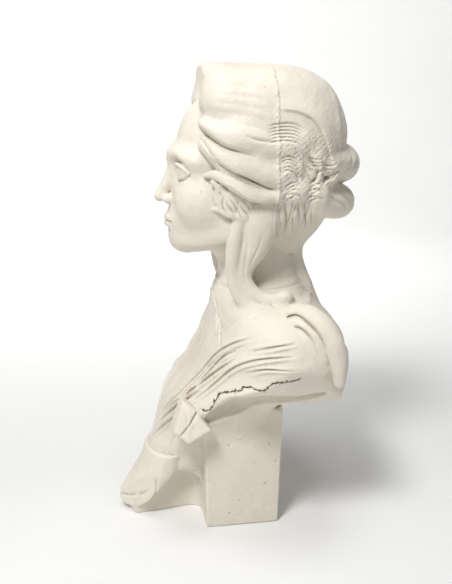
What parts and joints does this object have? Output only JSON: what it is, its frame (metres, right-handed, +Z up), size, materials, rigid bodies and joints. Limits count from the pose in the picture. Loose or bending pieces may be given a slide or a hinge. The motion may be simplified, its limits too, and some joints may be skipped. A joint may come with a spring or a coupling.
{
  "type": "marble bust",
  "caption": "Cast marble bust of a woman with swept-up hair and draped shoulders, standing on a square post and a front foot.",
  "frame": {"origin": "on the floor, at the centre of the bust's bounding box seen from above", "axes": "+Z up, -Y the way the face looks, +X the figure's left"},
  "size_m": [0.216, 0.2159, 0.4],
  "materials": {
    "cast_marble": "matte cast surface, slightly waxy",
    "joint_plaster": "matte, rough",
    "steel": "drawn bar"
  },
  "bodies": {
    "root": {"torso_front": "cast_marble", "torso_back": "cast_marble", "neck_front": "cast_marble", "neck_back": "cast_marble", "face": "cast_marble", "hair_front_left": "cast_marble", "hair_front_right": "cast_marble", "hair_back": "cast_marble", "chignon_upper": "cast_marble", "chignon_lower": "cast_marble", "nape_lock": "cast_marble", "side_lock_left": "cast_marble", "side_lock_right": "cast_marble", "shoulder_roll_left": "cast_marble", "shoulder_roll_right": "cast_marble", "hem_tab": "cast_marble", "chest_leaf": "cast_marble", "tablet": "cast_marble", "front_foot": "cast_marble", "post": "cast_marble", "joint_bead": "joint_plaster", "armature_rod": "steel", "post_pin_left": "steel", "post_pin_right": "steel"}
  },
  "joints": []
}
